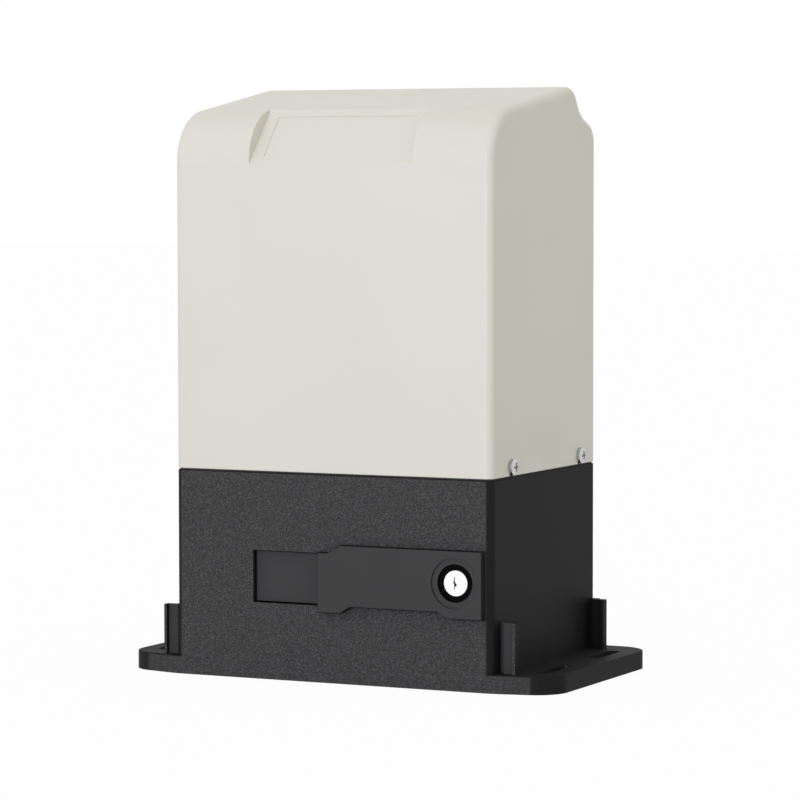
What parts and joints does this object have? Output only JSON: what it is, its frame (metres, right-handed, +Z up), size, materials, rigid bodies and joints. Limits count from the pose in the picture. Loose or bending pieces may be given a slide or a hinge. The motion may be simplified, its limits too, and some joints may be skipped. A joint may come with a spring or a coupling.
{
  "type": "sliding gate motor",
  "caption": "Upright sliding gate motor: black cast base on a slotted foot, keyed release lever, worm gearbox with rear pinion, lift-off ivory cover.",
  "frame": {"origin": "middle of the foot's underside, under the middle of the base", "axes": "+X to the right seen from the release lever, +Y to the back where the drive pinion is, +Z up"},
  "size_m": [0.285, 0.2193, 0.3545],
  "materials": {
    "cast_black": "die-cast, black textured powder coat",
    "lever_black": "die-cast, fine satin black coat",
    "ivory_cover": "injection moulded, satin ivory",
    "bare_casting": "bare die-cast aluminium",
    "steel": "turned and ground steel",
    "zinc_screw": "bright zinc plated",
    "gear_steel": "hobbed zinc-plated steel",
    "bronze": "cut tin bronze",
    "spring_steel": "drawn spring wire",
    "bearing_steel": "ground bearing rings with black seals",
    "laminations": "stacked electrical steel",
    "copper_winding": "enamelled copper wire, varnished",
    "black_rubber": "moulded nitrile rubber",
    "chrome_lock": "polished chrome plate",
    "lock_zinc": "die-cast zinc, black chromate",
    "dark_plastic": "glass-filled nylon",
    "board_green": "solder-masked glass-epoxy board",
    "terminal_green": "moulded screw terminals",
    "relay_blue": "sealed relay cases",
    "chip_black": "moulded epoxy parts",
    "trimmer_blue": "moulded trimmers",
    "fuse_glass": "glass tube fuse",
    "capacitor_case": "moulded capacitor case"
  },
  "bodies": {
    "base": {"base_housing": "cast_black", "gearcase_lid": "bare_casting", "lid_gasket": "black_rubber", "lid_screws": "zinc_screw", "cover_seal": "black_rubber", "cover_screws": "zinc_screw", "shaft_bearings": "bearing_steel", "worm_bearings": "bearing_steel", "oil_seal": "black_rubber", "worm_seal": "black_rubber", "lever_pin": "steel", "cable_grommets": "black_rubber", "motor_flange": "bare_casting", "motor_stator": "laminations", "motor_windings": "copper_winding", "motor_end_shield": "bare_casting", "motor_bearing": "bearing_steel", "motor_bolts": "zinc_screw", "board_tray": "dark_plastic", "control_board": "board_green", "board_screws": "zinc_screw", "terminal_blocks": "terminal_green", "relays": "relay_blue", "board_chips": "chip_black", "trimmer_pots": "trimmer_blue", "fuse_holder": "dark_plastic", "fuse": "fuse_glass", "receiver_module": "board_green", "transformer_core": "laminations", "transformer_coil": "copper_winding", "run_capacitor": "capacitor_case", "capacitor_clip": "zinc_screw", "limit_housing": "dark_plastic", "microswitches": "dark_plastic"},
    "cover": {"cover": "ivory_cover"},
    "lever": {"release_lever": "lever_black", "lock_barrel": "lock_zinc"},
    "lock": {"lock_plug": "chrome_lock", "lock_cam": "lock_zinc", "cam_screw": "zinc_screw"},
    "rotor": {"worm_shaft": "steel", "rotor_core": "laminations"},
    "wheel": {"worm_wheel": "bronze", "wheel_hub": "gear_steel"},
    "output": {"output_shaft": "steel", "drive_pinion": "gear_steel", "pinion_key": "steel", "pinion_washer": "zinc_screw", "pinion_bolt": "zinc_screw", "spring_seat": "steel", "clutch_spring": "spring_steel"},
    "dog": {"clutch_dog": "gear_steel", "cross_pin": "steel"},
    "rod": {"push_rod": "steel"},
    "whisker": {"limit_hub": "dark_plastic", "limit_spring": "spring_steel"},
    "button": {"learn_button": "dark_plastic"}
  },
  "joints": [
    {"name": "cover_lift", "type": "slide", "parent": "base", "child": "cover", "axis": [0, 0, 1], "range_m": [0, 0.26]},
    {"name": "lever_turn", "type": "hinge", "parent": "base", "child": "lever", "pos_m": [-0.03, -0.06725, 0.06175], "axis": [0, 0, -1], "range_deg": [0, 90]},
    {"name": "lock_turn", "type": "hinge", "parent": "lever", "child": "lock", "pos_m": [0.0835, -0.07, 0.064], "axis": [0, -1, 0], "range_deg": [0, 90]},
    {"name": "rotor_spin", "type": "hinge", "parent": "base", "child": "rotor", "pos_m": [0.02, 0, 0.06175], "axis": [0, 0, 1], "continuous": true},
    {"name": "wheel_spin", "type": "hinge", "parent": "base", "child": "wheel", "pos_m": [-0.03, 0, 0.06175], "axis": [0, 1, 0], "continuous": true},
    {"name": "output_spin", "type": "hinge", "parent": "base", "child": "output", "pos_m": [-0.03, 0, 0.06175], "axis": [0, 1, 0], "continuous": true},
    {"name": "clutch_slide", "type": "slide", "parent": "output", "child": "dog", "axis": [0, 1, 0], "range_m": [0, 0.005], "deforming": ["clutch_spring"]},
    {"name": "rod_slide", "type": "slide", "parent": "base", "child": "rod", "axis": [0, 1, 0], "range_m": [0, 0.005]},
    {"name": "whisker_swing", "type": "hinge", "parent": "base", "child": "whisker", "pos_m": [-0.03, 0.0685, 0.136], "axis": [0, 0, 1], "range_deg": [-30, 30], "stiffness_Nm_per_rad": 0.05},
    {"name": "button_press", "type": "slide", "parent": "base", "child": "button", "axis": [0, 1, 0], "range_m": [0, 0.0005], "stiffness_N_per_m": 400}
  ],
  "couplings": [
    {"joint": "wheel_spin", "follows": "rotor_spin", "ratio": 0.033333},
    {"joint": "output_spin", "follows": "rotor_spin", "ratio": 0.033333},
    {"joint": "clutch_slide", "follows": "lever_turn", "m_per_rad": 0.00318},
    {"joint": "rod_slide", "follows": "lever_turn", "m_per_rad": 0.00318}
  ]
}
